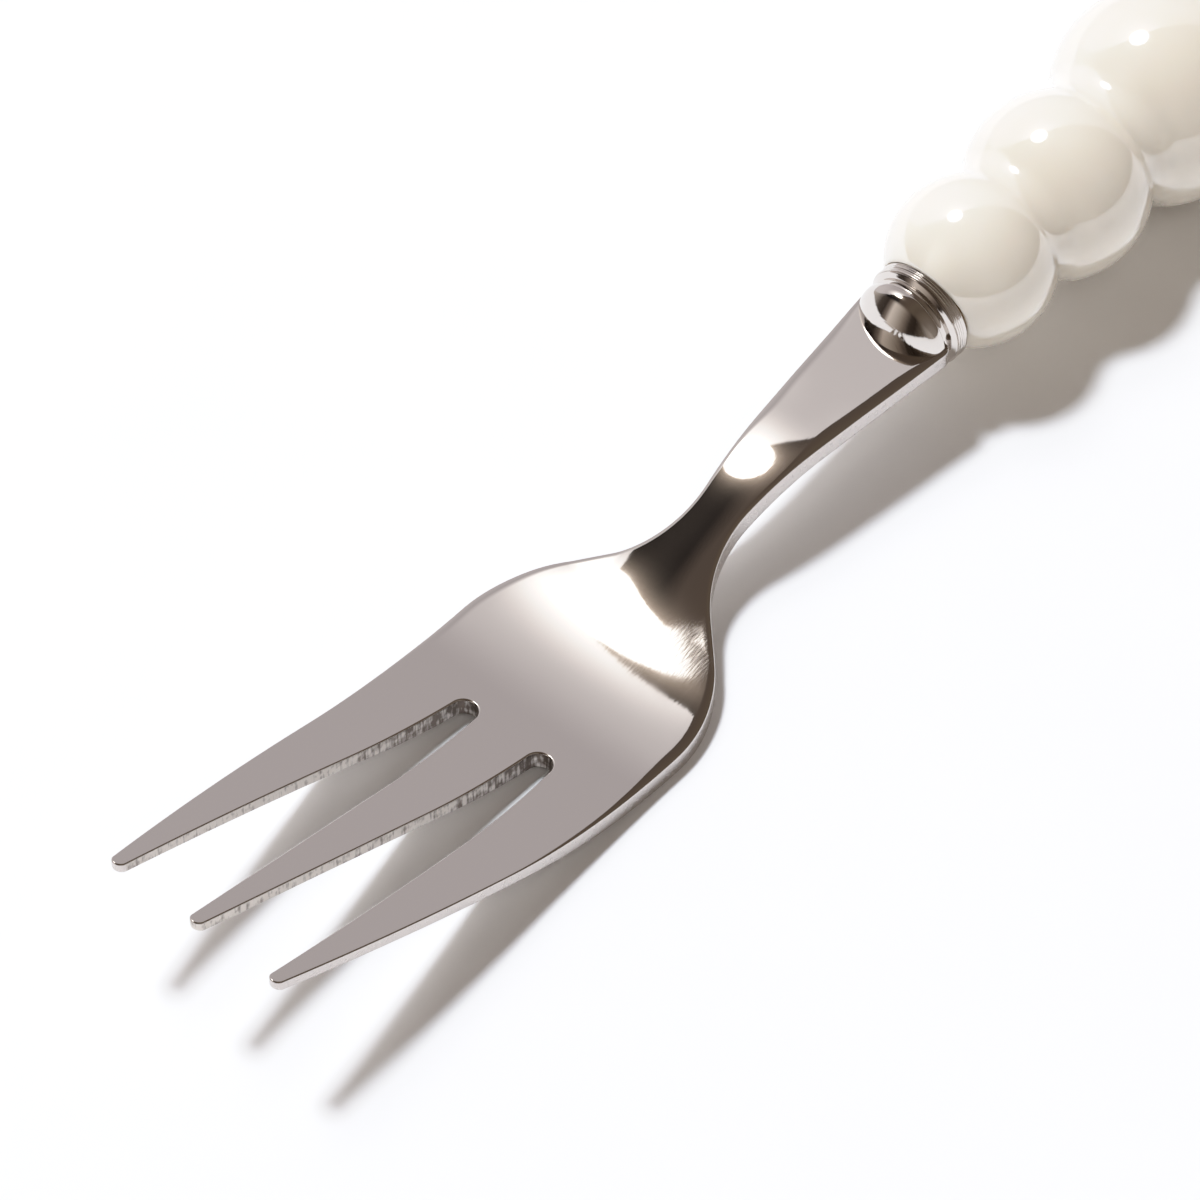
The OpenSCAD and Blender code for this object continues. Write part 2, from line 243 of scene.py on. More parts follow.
def shearedEdge(s):
    material, tree, shader, place = newMaterial("stainless_sheared_edge")
    wide, tall = 1 / (s["markWidth"] * mm), 1 / (s["markHeight"] * mm)
    upright = addNode(tree, "ShaderNodeMapping",
                      {"Vector": place, "Scale": (wide, wide, tall)}).outputs[0]
    marks = addNode(tree, "ShaderNodeTexNoise",
                    {"Vector": upright, "Scale": 1.0, "Detail": 3.0}).outputs[0]
    pits = addNode(tree, "ShaderNodeTexNoise",
                   {"Vector": place, "Scale": 1 / (s["pitSize"] * mm), "Detail": 4.0}).outputs[0]
    both = addNode(tree, "ShaderNodeMath", {0: marks, 1: pits}, operation="MULTIPLY").outputs[0]
    along = addNode(tree, "ShaderNodeSeparateXYZ", {0: place}).outputs[0]
    # painted shade by the slot's round end and painted light toward the tips, graded along the fork
    paintedShading = addNode(tree, "ShaderNodeMapRange",
                   {"Value": along, "From Min": (s["paintedShadeFrom"] + collarX) * mm,
                    "From Max": (s["paintedLightFrom"] + collarX) * mm,
                    "To Min": s["paintedShading"][0], "To Max": s["paintedShading"][1]}).outputs[0]
    tone = addNode(tree, "ShaderNodeMath", {0: both, 1: paintedShading}, operation="ADD").outputs[0]
    tint = addNode(tree, "ShaderNodeValToRGB", {"Fac": tone},
                   ((s["darkAt"], s["dark"]), (s["lightAt"], s["light"]))).outputs[0]
    rough = addNode(tree, "ShaderNodeMapRange",
                    {"Value": marks, "From Min": s["spreadFrom"], "From Max": s["spreadFull"],
                     "To Min": s["roughness"], "To Max": s["roughness"] + s["spread"]}).outputs[0]
    bump = addNode(tree, "ShaderNodeBump",
                   {"Height": both, "Strength": s["bump"], "Distance": s["depth"] * mm}).outputs[0]
    wire(tree, shader, {"Base Color": tint, "Metallic": 1.0, "Roughness": rough, "Normal": bump})
    return material


# Turned stainless: polished on the lathe, so faint rings run round the axis.
turning = {
    "tint": "#D4CEC8", "roughness": 0.05, "spread": 0.05, "spreadFrom": 0.3, "spreadFull": 0.7,
    "ring": 0.09, "ringDrift": 25.0, "bump": 0.015,
}


def turnedSteel(s):
    material, tree, shader, place = newMaterial("stainless_turned_polished")
    along, about = 1 / (s["ring"] * mm), 1 / (s["ringDrift"] * mm)
    squeezed = addNode(tree, "ShaderNodeMapping",
                       {"Vector": place, "Scale": (along, about, about)}).outputs[0]
    rings = addNode(tree, "ShaderNodeTexNoise",
                    {"Vector": squeezed, "Scale": 1.0, "Detail": 2.0}).outputs[0]
    rough = addNode(tree, "ShaderNodeMapRange",
                    {"Value": rings, "From Min": s["spreadFrom"], "From Max": s["spreadFull"],
                     "To Min": s["roughness"], "To Max": s["roughness"] + s["spread"]}).outputs[0]
    bump = addNode(tree, "ShaderNodeBump",
                   {"Height": rings, "Strength": s["bump"], "Distance": mm}).outputs[0]
    wire(tree, shader, {"Base Color": colour(s["tint"]), "Metallic": 1.0, "Roughness": rough, "Normal": bump})
    return material


# Ivory glazed ceramic: a clear glassy coat over a warm body that light sinks into a little, a
# touch yellower in patches, with the slow ripple that a fired glaze keeps.
glaze = {
    "pale": "#EAE2D2", "warm": "#E6DCCA", "paleAt": 0.65, "warmAt": 0.35, "patchSize": 14.0,
    "roughness": 0.04, "ior": 1.7, "coat": 1.0, "coatRoughness": 0.02,
    "rippleSize": 7.0, "ripple": 0.008,
    "milky": 0.2, "depth": 1.6, "depthTint": (1.0, 0.8, 0.6),
}


def ivoryGlaze(s):
    material, tree, shader, place = newMaterial("ivory_glazed_ceramic")
    patch = addNode(tree, "ShaderNodeTexNoise",
                    {"Vector": place, "Scale": 1 / (s["patchSize"] * mm), "Detail": 2.0}).outputs[0]
    tint = addNode(tree, "ShaderNodeValToRGB", {"Fac": patch},
                   ((s["warmAt"], s["warm"]), (s["paleAt"], s["pale"]))).outputs[0]
    ripple = addNode(tree, "ShaderNodeTexNoise",
                     {"Vector": place, "Scale": 1 / (s["rippleSize"] * mm), "Detail": 1.0}).outputs[0]
    bump = addNode(tree, "ShaderNodeBump",
                   {"Height": ripple, "Strength": s["ripple"], "Distance": mm}).outputs[0]
    wire(tree, shader, {
        "Base Color": tint, "Normal": bump, "Roughness": s["roughness"], "IOR": s["ior"],
        "Coat Weight": s["coat"], "Coat Roughness": s["coatRoughness"], "Coat IOR": s["ior"],
        "Subsurface Weight": s["milky"], "Subsurface Radius": s["depthTint"],
        "Subsurface Scale": s["depth"] * mm})
    return material


# Cured epoxy cement: amber, a little cloudy, smoothed by the wipe of a cloth.
cement = {
    "amber": "#8A6A3C", "brown": "#5E4426", "amberAt": 0.65, "brownAt": 0.35, "patchSize": 1.6,
    "roughness": 0.42, "ior": 1.52, "bump": 0.2, "depth": 0.1,
}


def amberCement(s):
    material, tree, shader, place = newMaterial("cured_amber_epoxy")
    patch = addNode(tree, "ShaderNodeTexNoise",
                    {"Vector": place, "Scale": 1 / (s["patchSize"] * mm), "Detail": 3.0}).outputs[0]
    tint = addNode(tree, "ShaderNodeValToRGB", {"Fac": patch},
                   ((s["brownAt"], s["brown"]), (s["amberAt"], s["amber"]))).outputs[0]
    bump = addNode(tree, "ShaderNodeBump",
                   {"Height": patch, "Strength": s["bump"], "Distance": s["depth"] * mm}).outputs[0]
    wire(tree, shader, {"Base Color": tint, "Normal": bump, "Roughness": s["roughness"], "IOR": s["ior"]})
    return material


# fork blank

# The slots are 0.11 mm narrower on each side than the solid's.
blank = {
    # seen from above
    "tipDist": 82.4, "headHalf": 11.1, "wideDist": 46.0, "sideRadius": 270.0,
    "shoulderDist": 41.7, "shoulderRadius": 11.9, "neckHalf": 2.13, "neckDist": 24.2,
    "neckRadius": 9.0, "shankSpread": 6.3, "shankEnd": -1.65, "shankCorner": 0.9,
    "slotDist": 49.3, "slotSide": 3.87, "slotRadius": 1.11, "slotBow": 0.3,
    "tipRadius": 0.65, "outerTipTurn": 264.0, "middleTipTurn": 93.0,
    "tangHalf": 1.6, "tangReach": 23.0, "tangCorner": 0.4,
    "notchRadius": 0.6, "notchShares": (0.45, 0.75),
    # seen from the side
    "shankTop": 9.6, "shankThick": 1.6, "shankAngle": 1.5, "bendDist": 15.2, "bendRadius": 22.0,
    "rampAngle": 24.0, "rampThick": 2.0, "hollowRadius": 28.0, "heelThick": 2.1, "heelLevel": 0.8,
    "heelRound": 16.0, "footLength": 2.0, "riseRadius": 52.0, "riseAngle": 19.3,
    "underRadius": 48.0, "underAngle": 19.9, "pastTip": 2.0,
    # spacing of points, and how many rows of them the edge has
    "step": 0.4, "fineStep": 0.12, "arcStep": 0.1, "fillStep": 0.7, "fillMargin": 0.45,
    "closest": 0.02, "profileStep": 0.05, "profileSoft": 0.7, "meshGap": 1e-7,
    "topRows": 9, "underRows": 6, "rimRows": 7, "wallRows": 6, "wallLap": 2,
    # width of the buffed edge at places along the fork, and how steep it gets at the rim
    "buffPlaces": (-82.4, -62.0, -50.0, -43.0, -37.0, -32.0, -19.0, -15.0, -6.0, -3.0),
    "buffWidths": (0.22, 0.28, 0.5, 1.0, 0.9, 0.4, 0.4, 1.1, 1.1, 0.5),
    "slotBuff": 0.2, "tangBuff": 0.15, "buffEase": 4, "buffSlope": 0.35, "underShare": 0.5,
    "rimRadius": 0.16,
    # how strongly the top is crowned across at places along the fork, as one over a radius
    "crownPlaces": (-40.0, -34.0, -30.0, -20.0, -17.0, -12.0),
    "crownBends": (0.0, 0.007, 0.045, 0.045, 0.035, 0.0), "crownSoft": 1.2,
}


# Side view of the blank: heights of the top and lower face at places along it. Each face is a
# chain of straight lines and arcs, read off at even places and softened as buffing softens it.
def blankFaces(b):
    shank, ramp = np.radians(b["shankAngle"]), np.radians(b["rampAngle"])
    rise, under = np.radians(b["riseAngle"]), np.radians(b["underAngle"])
    step, far = b["arcStep"], -b["tipDist"] - b["pastTip"]
    bendTop = np.array([-b["bendDist"], b["shankTop"] - (b["bendDist"] + b["shankEnd"]) * np.tan(shank)])
    bendMid = bendTop + b["bendRadius"] * np.array([np.sin(shank), -np.cos(shank)])
    square = np.array([-np.sin(ramp), np.cos(ramp)])  # square to the ramp
    rampTop = bendMid + b["bendRadius"] * square
    hollowDrop = b["hollowRadius"] * (1 - np.cos(ramp))
    rampLength = (rampTop[1] - hollowDrop - b["heelThick"]) / np.sin(ramp)
    rampFoot = rampTop - rampLength * np.array([np.cos(ramp), np.sin(ramp)])
    hollowMid = rampFoot + b["hollowRadius"] * square
    riseMid = np.array([hollowMid[0] - b["heelLevel"], b["heelThick"] + b["riseRadius"]])
    top = chain(
        np.array([[b["tangReach"], b["shankTop"]], [b["shankEnd"], b["shankTop"]]]),
        arc(bendMid, b["bendRadius"], 90 + b["shankAngle"], 90 + b["rampAngle"], step),
        arc(hollowMid, b["hollowRadius"], -90 + b["rampAngle"], -90, step),
        arc(riseMid, b["riseRadius"], -90, -90 - b["riseAngle"], step))
    top = np.concatenate([top, [[far, top[-1, 1] + (top[-1, 0] - far) * np.tan(rise)]]])
    lowRadius, shankLow = b["bendRadius"] - b["rampThick"], b["shankTop"] - b["shankThick"]
    rampLow = bendMid + lowRadius * square
    heelCorner = rampLow[0] - rampLow[1] / np.tan(ramp)
    footFront = heelCorner - b["heelRound"] * np.tan(ramp / 2)
    footBack = footFront - b["footLength"]
    low = chain(
        np.array([[b["tangReach"], shankLow], [b["shankEnd"], shankLow]]),
        arc(bendMid, lowRadius, 90 + b["shankAngle"], 90 + b["rampAngle"], step),
        arc((footFront, b["heelRound"]), b["heelRound"], -90 + b["rampAngle"], -90, step),
        arc((footBack, b["underRadius"]), b["underRadius"], -90, -90 - b["underAngle"], step))
    low = np.concatenate([low, [[far, low[-1, 1] + (low[-1, 0] - far) * np.tan(under)]]])
    places = np.arange(far, b["tangReach"], b["profileStep"])
    levels = (np.interp(places, run[::-1, 0], run[::-1, 1]) for run in (top, low))
    return (places, *(softened(places, level, b["profileSoft"]) for level in levels))


# Outline of the blank seen from above, one closed run the left-hand way round from the tang
# end, and for each point its kind: 0 outer edge, 1 slot edge, 2 tang. One half is a chain of
# lines and touching arcs, with a parabola added to the outer slot edge, and is then mirrored.
def blankOutline(b):
    step, fine = b["step"], b["fineStep"]
    spread = b["shankSpread"]
    lean = np.radians(spread)
    tipMid = -b["tipDist"] + b["tipRadius"]
    shoulderMid = np.array([-b["shoulderDist"], b["headHalf"] - b["shoulderRadius"]])
    neckMid = np.array([-b["neckDist"], b["neckHalf"] + b["neckRadius"]])
    gap = neckMid - shoulderMid
    flank = np.degrees(np.arctan2(gap[0], gap[1])
                       - np.arccos((b["shoulderRadius"] + b["neckRadius"]) / np.linalg.norm(gap)))
    shankStart = neckMid + b["neckRadius"] * np.array([np.sin(lean), -np.cos(lean)])
    shankHalf = shankStart[1] + (b["shankEnd"] - shankStart[0]) * np.tan(lean)
    corner = b["shankCorner"]
    cornerMid = np.array([b["shankEnd"] - corner, shankHalf
                          - corner * (1 + np.sin(lean)) * np.tan(lean) - corner * np.cos(lean)])
    sideMid = np.array([-b["wideDist"], b["headHalf"] - b["sideRadius"]])
    sideTurn = 90 + np.degrees(np.arcsin((sideMid[0] - tipMid) / b["sideRadius"]))
    tineSide = sideMid[1] + b["sideRadius"] * np.sin(np.radians(sideTurn)) - b["tipRadius"]
    slotMid = np.array([-b["slotDist"], b["slotSide"]])
    slotRoot = slotMid + [0, b["slotRadius"]]
    slotTip = np.array([tipMid, tineSide - b["tipRadius"]])
    bowed = line(slotTip, slotRoot, step)
    share = np.linspace(0, 1, len(bowed))
    bowed = bowed + np.outer(4 * share * (1 - share) * b["slotBow"], [0, 1])
    tangX = np.arange(b["tangReach"] - b["tangCorner"], b["shankEnd"], -fine)
    notches = np.array(b["notchShares"])[:, None] * b["tangReach"]
    bite = np.sqrt(np.clip(b["notchRadius"] ** 2 - (tangX - notches) ** 2, 0, None)).max(axis=0)
    tangFlat = b["tangHalf"] - b["tangCorner"]
    tang = chain(line((b["tangReach"], 0), (b["tangReach"], tangFlat), step),
                 arc((b["tangReach"] - b["tangCorner"], tangFlat), b["tangCorner"], 0, 90, fine),
                 np.stack([tangX, b["tangHalf"] - bite], axis=1))
    outer = chain(line((b["shankEnd"], b["tangHalf"]), (b["shankEnd"], cornerMid[1]), step),
                  arc(cornerMid, corner, 0, 90 + spread, fine),
                  line(cornerMid + corner * np.array([-np.sin(lean), np.cos(lean)]), shankStart, step),
                  arc(neckMid, b["neckRadius"], -90 + spread, -90 - flank, step),
                  arc(shoulderMid, b["shoulderRadius"], 90 - flank, 90, step),
                  line((shoulderMid[0], b["headHalf"]), (sideMid[0], b["headHalf"]), step),
                  arc(sideMid, b["sideRadius"], 90, sideTurn, step),
                  arc((tipMid, tineSide), b["tipRadius"], sideTurn, b["outerTipTurn"], fine))
    slot = chain(bowed, arc(slotMid, b["slotRadius"], 90, -90, fine),
                 line(slotMid - [0, b["slotRadius"]], (tipMid, b["tipRadius"]), step),
                 arc((tipMid, 0), b["tipRadius"], b["middleTipTurn"], 180, fine))
    half = np.concatenate([tang, outer, slot])
    kind = np.repeat([2, 0, 1], [len(tang), len(outer), len(slot)])
    apart = np.linalg.norm(np.diff(half, axis=0), axis=1) > b["closest"]
    keep = np.concatenate([[True], apart])
    half, kind = half[keep], kind[keep]
    return np.concatenate([half, half[-2:0:-1] * [1, -1]]), np.concatenate([kind, kind[-2:0:-1]])


# Edge of the blank, a profile carried along the outline. Going out from the buffed face the
# profile falls as a parabola to the rim slope and turns through a small rim arc to upright.
# Each row gives inset from the outline and drop from the face.
def edgeRows(width, b, count):
    rim, lean = b["rimRadius"], np.arctan(b["buffSlope"])
    share = np.linspace(0, 1, count)[:, None]
    flatEnd = rim * (1 - np.sin(lean))
    inset = width - share * (width - flatEnd)
    drop = b["buffSlope"] * (width - flatEnd) * share ** 2 / 2
    turn = np.linspace(lean, np.pi / 2, b["rimRows"])[1:, None]
    rimInset = np.broadcast_to(rim * (1 - np.sin(turn)), (len(turn), len(width)))
    rimDrop = drop[-1:] + rim * (np.cos(lean) - np.cos(turn))
    return np.concatenate([inset, rimInset]), np.concatenate([drop, rimDrop])


# Points on an even grid that lie inside a closed run and keep their distance from it. A point
# is inside where a line from it along x crosses the run an odd number of times.
def insidePoints(ring, step, margin):
    x = np.arange(ring[:, 0].min(), ring[:, 0].max(), step)
    most = np.ceil(ring[:, 1].max() / step)
    y = np.arange(-most, most + 1) * step
    spots = np.stack(np.meshgrid(x, y, indexing="ij"), axis=-1).reshape(-1, 2)
    a, c = ring, np.roll(ring, -1, axis=0)
    px, py = spots[:, :1], spots[:, 1:]
    crosses = (a[:, 1] > py) != (c[:, 1] > py)
    rise = np.where(c[:, 1] == a[:, 1], 1e-9, c[:, 1] - a[:, 1])  # level sides never cross
    left = px < a[:, 0] + (py - a[:, 1]) * (c[:, 0] - a[:, 0]) / rise
    inside = (crosses & left).sum(axis=1) % 2 == 1
    away = np.sqrt(((spots[:, None] - ring[None]) ** 2).sum(axis=-1).min(axis=1)) > margin
    return spots[inside & away]


# Blank: the carried edge above and below with an upright wall between, closed by a skin over
# the inner ring and grid points. The top falls from its middle as a parabola where it is crowned.
def forkBlank(b, materials):
    places, top, low = blankFaces(b)
    bend = softened(places, np.interp(places, b["crownPlaces"], b["crownBends"]), b["crownSoft"])
    ring, kind = blankOutline(b)
    count = len(ring)
    ahead, behind = unit(np.roll(ring, -1, axis=0) - ring), unit(ring - np.roll(ring, 1, axis=0))
    way = unit(ahead + behind)
    outward = np.stack([way[:, 1], -way[:, 0]], axis=1)
    buff = np.interp(ring[:, 0], b["buffPlaces"], b["buffWidths"])
    buff = np.select([kind == 0, kind == 1], [buff, b["slotBuff"]], b["tangBuff"])
    ease = b["buffEase"]  # the width is averaged over this many points to each side
    buff = np.convolve(np.concatenate([buff[-ease:], buff, buff[:ease]]),
                       np.full(2 * ease + 1, 1 / (2 * ease + 1)), mode="valid")
    insetTop, dropTop = edgeRows(buff, b, b["topRows"])
    insetLow, dropLow = edgeRows(np.maximum(buff * b["underShare"], b["rimRadius"]), b, b["underRows"])

    def height(spot, face, crown):
        fall = np.interp(spot[..., 0], places, bend) * spot[..., 1] ** 2 / 2
        return np.interp(spot[..., 0], places, face) - crown * fall

    def carried(inset, drop, face, crown, sign):
        spot = ring[None] - inset[..., None] * outward[None]
        return np.concatenate([spot, (height(spot, face, crown) + sign * drop)[..., None]], axis=-1)

    upper = carried(insetTop, dropTop, top, 1, -1)
    under = carried(insetLow, dropLow, low, 0, 1)[::-1]
    share = np.linspace(0, 1, b["wallRows"])[1:-1, None, None]
    wall = upper[-1:] * (1 - share) + under[:1] * share
    rows = np.concatenate([upper, wall, under])
    faces = gridFaces(len(rows), count)
    faceRow, wallEnd = faces[:, 0] // count, len(upper) + len(wall)
    onWall = (faceRow >= len(upper) - 1 - b["wallLap"]) & (faceRow < wallEnd + b["wallLap"])
    wallKind = np.where(kind == 1, 2, 1)[faces[:, 0] % count]
    slots = np.where(onWall, wallKind, 0)
    points = [rows.reshape(-1, 3)]
    allFaces, base = faces[:, ::-1].tolist(), rows.shape[0] * count
    loop = np.stack([np.arange(count), np.roll(np.arange(count), -1)], axis=1).tolist()
    skins = ((upper[0], top, 1, 0, 1), (under[-1], low, 0, base - count, -1))
    for inner, face, crown, first, flip in skins:
        spots = insidePoints(inner[:, :2], b["fillStep"], b["fillStep"] * b["fillMargin"])
        flat = np.concatenate([inner[:, :2], spots])
        made = delaunay_2d_cdt(flat.tolist(), loop, [], 1, b["meshGap"])
        source = np.array(made[3])[:, 0]
        number = np.where(source < count, first + source, base + source - count)
        skin = number[np.array(made[2])][:, ::flip]
        allFaces += skin.tolist()
        slots = np.concatenate([slots, np.zeros(len(skin), int)])
        points.append(np.column_stack([spots, height(spots, face, crown)]))
        base += len(spots)
    return addPiece("fork_blank_polished", row(np.concatenate(points)), allFaces, materials, slots,
                    "fork_blank")


# turned pieces

# A profile of (along, out) points turned about an axis at the given height. The profile is read
# off evenly along its own length and softened, which rounds its corners as polishing does.
def turnedPoints(profile, axis, s):
    rows, cols = s["rows"], s["cols"]
    length = np.concatenate([[0], np.cumsum(np.linalg.norm(np.diff(profile, axis=0), axis=1))])
    even = np.linspace(0, length[-1], profileSamples)
    along, out = (softened(even, np.interp(even, length, profile[:, k]), s["soft"]) for k in (0, 1))
    spots = np.linspace(0, length[-1], rows)
    along, out = np.interp(spots, even, along), np.interp(spots, even, out)
    turn = np.linspace(0, 2 * np.pi, cols, endpoint=False)
    grid = np.stack([np.broadcast_to(along[1:-1, None], (rows - 2, cols)),
                     out[1:-1, None] * np.cos(turn), axis + out[1:-1, None] * np.sin(turn)], axis=-1)
    ends = np.array([[along[0], 0, axis], [along[-1], 0, axis]])
    points = np.concatenate([grid.reshape(-1, 3), ends])
    quads = gridFaces(rows - 2, cols)
    j = np.arange(cols)
    last, pole = (rows - 3) * cols, (rows - 2) * cols
    front = np.stack([np.full(cols, pole), (j + 1) % cols, j], axis=1)
    back = np.stack([np.full(cols, pole + 1), last + j, last + (j + 1) % cols], axis=1)
    return points, quads.tolist() + front.tolist() + back.tolist()


bolster = {
    "axisHeight": axisZ - 0.9,  # the bolster sits this much lower than the handle
    "collarRadius": 4.5, "collarLength": 1.0, "flareRadius": 4.4, "flareLength": 0.65,
    "waistDepth": 0.5, "waistRound": 0.4, "waistSink": 0.1, "waistLead": 0.15, "edgeCut": 0.1,
    "beadRadius": 4.15, "beadFront": 5.15, "domeRadius": 5.1, "rimRadius": 1.4,
    "linePlaces": (0.3, 0.5, 0.7), "lineRound": 0.09, "lineDepth": 0.08,
    "rows": 260, "cols": 224, "soft": 0.035, "arcStep": 0.02, "samples": 800, "backStep": 0.1,
    # the blocks that cut the shank's and the tang's space, and the angle that stays sharp
    "cutReach": 12.0, "cutLap": 0.3, "cutPast": 1.0, "sharpAngle": 40.0,
}


# Bolster: a dome and a rim arc that touch, and behind the rim at each place along the axis the
# largest radius of rim, waist, flare cone and collar, less the round waist groove and the fine
# collar lines. The spaces of shank and tang are then cut out.
def turnedBolster(s, b, material):
    shankEnd = -s["collarLength"] - s["flareLength"]
    domeMid = s["domeRadius"] - s["beadFront"]
    rimReach, rimHeight = s["domeRadius"] - s["rimRadius"], s["beadRadius"] - s["rimRadius"]
    rimTurn = np.degrees(np.arcsin(rimHeight / rimReach))
    rimMid = domeMid - rimReach * np.cos(np.radians(rimTurn))
    bead = chain(arc((domeMid, 0), s["domeRadius"], 180, 180 - rimTurn, s["arcStep"]),
                 arc((rimMid, rimHeight), s["rimRadius"], 180 - rimTurn, 90, s["arcStep"]))
    along = np.linspace(rimMid, 0, s["samples"])
    waist, flareEdge = s["beadRadius"] - s["waistDepth"], -s["collarLength"] - s["edgeCut"]
    rim = rimHeight + np.sqrt(np.clip(s["rimRadius"] ** 2 - (along - rimMid) ** 2, 0, None))
    flare = np.interp(along, [shankEnd, flareEdge, -s["collarLength"]],
                      [waist, s["flareRadius"], s["flareRadius"] - s["edgeCut"]])
    out = np.maximum(rim, np.where(along < -s["collarLength"], flare, s["collarRadius"]))
    lineHeight = s["collarRadius"] + s["lineRound"] - s["lineDepth"]
    cuts = [(shankEnd - s["waistLead"], waist + s["waistRound"] - s["waistSink"], s["waistRound"])]
    cuts += [(-place, lineHeight, s["lineRound"]) for place in s["linePlaces"]]
    for middle, height, radius in cuts:
        near = radius ** 2 - (along - middle) ** 2
        out = np.where(near > 0, np.minimum(out, height - np.sqrt(np.clip(near, 0, None))), out)
    back = line((0, s["collarRadius"]), (0, 0), s["backStep"])
    profile = chain(bead, np.stack([along, out], axis=1), back)
    points, faces = turnedPoints(profile, s["axisHeight"], s)
    piece = addPiece("bolster_turned", row(points), faces, [material], np.zeros(len(faces)),
                     "bolster")
    places, top, low = blankFaces(b)
    spaces = {"shank_space": ((-s["cutReach"], shankEnd), s["cutReach"]),
              "tang_space": ((shankEnd - s["cutLap"], s["cutPast"]), b["tangHalf"])}
    sides = [(0, 1, 3, 2), (4, 6, 7, 5), (0, 4, 5, 1), (2, 3, 7, 6), (0, 2, 6, 4), (1, 5, 7, 3)]
    for name, (x, half) in spaces.items():
        levels = np.interp(x, places, low), np.interp(x, places, top)
        corners = np.array([[x[k], y, level[k]] for k in (0, 1) for y in (-half, half) for level in levels])
        mesh = bpy.data.meshes.new(name)
        mesh.from_pydata(row(corners).tolist(), [], sides)
        cutter = bpy.data.objects.new(name, mesh)
        bpy.context.scene.collection.objects.link(cutter)
        cut = piece.modifiers.new(name, "BOOLEAN")
        cut.operation, cut.solver, cut.object = "DIFFERENCE", "EXACT", cutter
        done = bpy.data.meshes.new_from_object(piece.evaluated_get(bpy.context.evaluated_depsgraph_get()))
        piece.modifiers.clear()
        piece.data = done
        bpy.data.objects.remove(cutter)
    piece.data.shade_smooth()
    piece.data.set_sharp_from_angle(angle=np.radians(s["sharpAngle"]))
    print("bolster cut for the shank,", len(piece.data.polygons), "faces")
    return piece


# The grooves between the beads are wider here than in the solid.
handle = {
    "radii": (7.0, 7.74, 9.01, axisZ, 8.3), "places": (5.72, 16.1, 28.77, 43.2, 56.4),
    "grooveRadius": 3.0, "boreRadius": 3.0, "boreDepth": 26.0, "bondGap": 0.18,
    "rows": 490, "cols": 200, "soft": 0.06, "arcStep": 0.05, "boreStep": 0.2, "sharpAngle": 30.0,
    "lipTurn": 75.0, "lipGap": 0.06, "lipWall": 0.05, "onAxis": 1e-6,
}


# Handle: spheres in a row, joined by small arcs that touch both neighbours, with the blind bore.
def beadedHandle(s, c, material):
    radii, places, groove = np.array(s["radii"]), np.array(s["places"]), s["grooveRadius"]
    apart, p, q = np.diff(places), radii[:-1] + groove, radii[1:] + groove
    along = (p ** 2 - q ** 2 + apart ** 2) / (2 * apart)
    middles = np.stack([places[:-1] + along, np.sqrt(p ** 2 - along ** 2)], axis=1)
    fromTurn = np.degrees(np.arctan2(middles[:, 1], middles[:, 0] - places[:-1]))
    toTurn = np.degrees(np.arctan2(middles[:, 1], middles[:, 0] - places[1:]))
    first = np.degrees(np.arccos((s["bondGap"] - places[0]) / radii[0]))
    starts, ends = np.concatenate([[first], toTurn]), np.concatenate([fromTurn, [0]])
    runs = []
    for i, (place, radius) in enumerate(zip(places, radii)):
        runs.append(arc((place, 0), radius, starts[i], ends[i], s["arcStep"]))
        if i < len(middles):
            runs.append(arc(middles[i], groove, fromTurn[i] - 180, toTurn[i] - 180, s["arcStep"]))
    bore = [line((s["boreDepth"], 0), (s["boreDepth"], s["boreRadius"]), s["boreStep"]),
            line((s["boreDepth"], s["boreRadius"]), (s["bondGap"], s["boreRadius"]), s["boreStep"]),
            line((s["bondGap"], s["boreRadius"]), runs[0][0], s["arcStep"])]
    points, faces = turnedPoints(chain(*bore, *runs), axisZ, s)
    # The collar sits lower than the handle. Above it the first sphere runs on to meet the collar:
    # each point keeps its share of the turn between the meeting circle and lipTurn.
    out = np.hypot(points[:, 1], points[:, 2] - axisZ)
    reach = np.maximum(out, s["onAxis"])
    upward = (points[:, 2] - axisZ) / reach
    drop, clear = axisZ - c["axisHeight"], c["collarRadius"] + s["lipGap"]
    rim = radii[0] * np.sin(np.radians(first))
    meet = np.minimum(rim, np.sqrt(clear ** 2 - drop ** 2 * (1 - upward ** 2)) - drop * upward)
    lipTurn, rimTurn = np.radians(s["lipTurn"]), np.arcsin(rim / radii[0])
    meetTurn = np.arcsin(meet / radii[0])
    turn = np.clip(np.arctan2(out, places[0] - points[:, 0]), rimTurn, lipTurn)
    moved = turn - (lipTurn - turn) / (lipTurn - rimTurn) * (rimTurn - meetTurn)
    share = np.clip((out - meet + s["lipWall"]) / (rim - meet + s["lipWall"]), 0, 1)
    scale = 1 + share * radii[0] * (np.sin(moved) - np.sin(turn)) / reach
    points[:, 0] += share * radii[0] * (np.cos(turn) - np.cos(moved))
    points[:, 1] *= scale
    points[:, 2] = axisZ + (points[:, 2] - axisZ) * scale
    piece = addPiece("handle_glazed", row(points), faces, [material], np.zeros(len(faces)),
                     "handle")
    piece.data.set_sharp_from_angle(angle=np.radians(s["sharpAngle"]))
    return piece


forkBlank(blank, [polishedSteel(polish), groundEdge(edge), shearedEdge(shear)])
turnedBolster(bolster, blank, turnedSteel(turning))
beadedHandle(handle, bolster, ivoryGlaze(glaze))
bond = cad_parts["epoxy_bond"]
bond.data.materials.clear()
bond.data.materials.append(amberCement(cement))
print("pieces made")


# floor

# White paper sheet: matt, with faint flecks.
floor = {
    "half": 3000.0, "white": "#F7F6F5", "fleck": "#F2F1EF", "fleckSize": 30.0,
    "roughness": 0.9, "shine": 0.1,
}


